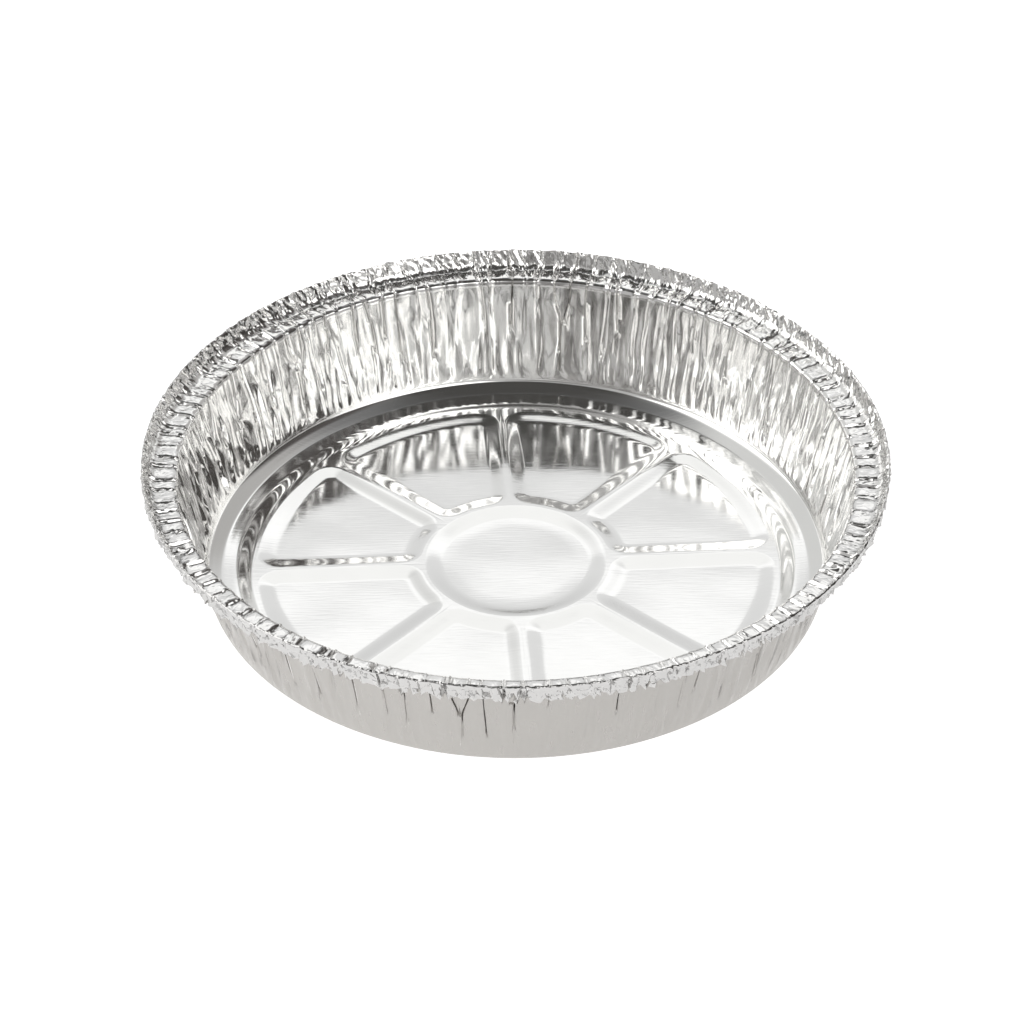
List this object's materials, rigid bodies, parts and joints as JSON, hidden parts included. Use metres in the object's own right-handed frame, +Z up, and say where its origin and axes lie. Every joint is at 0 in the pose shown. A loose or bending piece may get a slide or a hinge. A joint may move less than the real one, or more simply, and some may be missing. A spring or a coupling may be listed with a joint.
{
  "type": "round foil pan",
  "caption": "Deep round pie tin pressed from thin aluminium foil, with gathered walls, a pleated flange, an upright hemmed lip and ribbed floor panels.",
  "frame": {"origin": "centre of the floor, on the surface that the pan stands on", "axes": "+Z up through the open mouth, +X to the right in the picture, +Y away from the camera"},
  "size_m": [0.236, 0.236, 0.046],
  "materials": {
    "foil": "bright foil, satin on the pressed floor and the outside, glossy and finely creased on the wall and the rim"
  },
  "bodies": {
    "root": {"foil_pan": "foil"}
  },
  "joints": []
}
